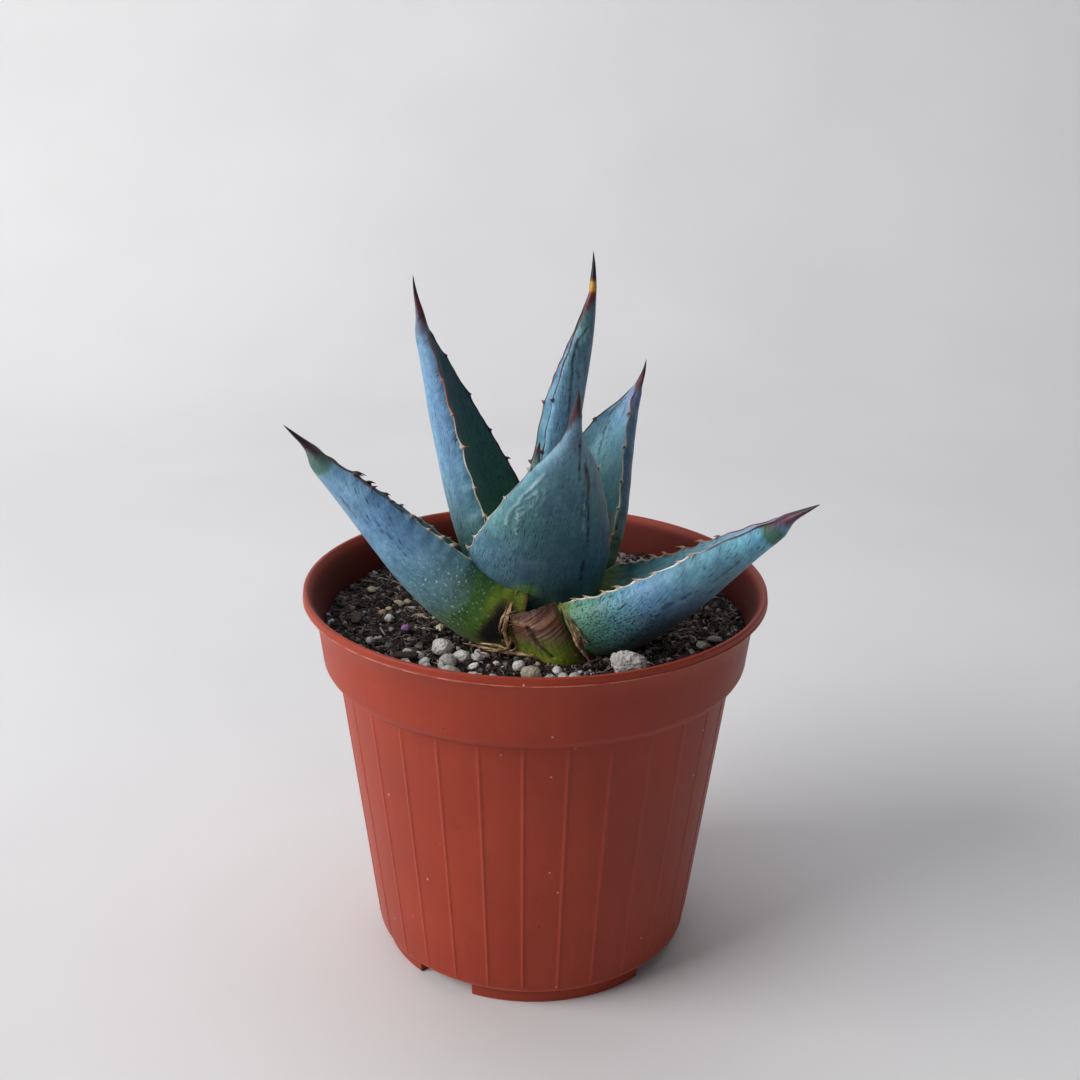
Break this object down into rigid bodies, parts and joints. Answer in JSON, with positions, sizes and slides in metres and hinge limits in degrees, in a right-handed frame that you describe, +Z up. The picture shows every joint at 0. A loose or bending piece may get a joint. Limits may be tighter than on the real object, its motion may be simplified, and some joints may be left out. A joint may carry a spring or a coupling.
{
  "type": "potted agave",
  "caption": "Young blue agave with channelled, spine-tipped leaves, rooted in soil in a tapered round plastic nursery pot with a collar, ribs and feet.",
  "frame": {"origin": "on the surface the feet stand on, under the centre of the whole object's bounding box", "axes": "+Z up, -Y towards the plant's front, where the cut leaf base is, +X to the right seen from the front"},
  "size_m": [0.1106, 0.105, 0.1634],
  "materials": {
    "pot_plastic": "satin",
    "potting_soil": "matte",
    "stem": "matte",
    "leaf": "satin",
    "bud": "satin",
    "cut_leaf": "matte",
    "dry_scale": "matte",
    "bark": "matte",
    "pumice": "matte",
    "granule": "matte",
    "grit": "matte"
  },
  "bodies": {
    "root": {"bark_chip_01": "bark", "bark_chip_02": "bark", "bark_chip_03": "bark", "bark_chip_04": "bark", "bark_chip_05": "bark", "central_bud": "bud", "cut_leaf_base": "cut_leaf", "dried_scale_front": "dry_scale", "dried_scale_left": "dry_scale", "dried_scale_right": "dry_scale", "grit_01": "grit", "grit_02": "grit", "grit_03": "grit", "grit_04": "grit", "grit_05": "grit", "grit_06": "grit", "grit_07": "grit", "grit_08": "grit", "grit_09": "grit", "grit_10": "grit", "grit_11": "grit", "grit_12": "grit", "grit_13": "grit", "grit_14": "grit", "grit_15": "grit", "grit_16": "grit", "grit_17": "grit", "grit_18": "grit", "leaf_back_left": "leaf", "leaf_back_right": "leaf", "leaf_front": "leaf", "leaf_left": "leaf", "leaf_right": "leaf", "leaf_tall": "leaf", "pot": "pot_plastic", "pumice_lump": "pumice", "pumice_stone": "pumice", "soil": "potting_soil", "stem_with_roots": "stem", "violet_granule": "granule"}
  },
  "joints": []
}
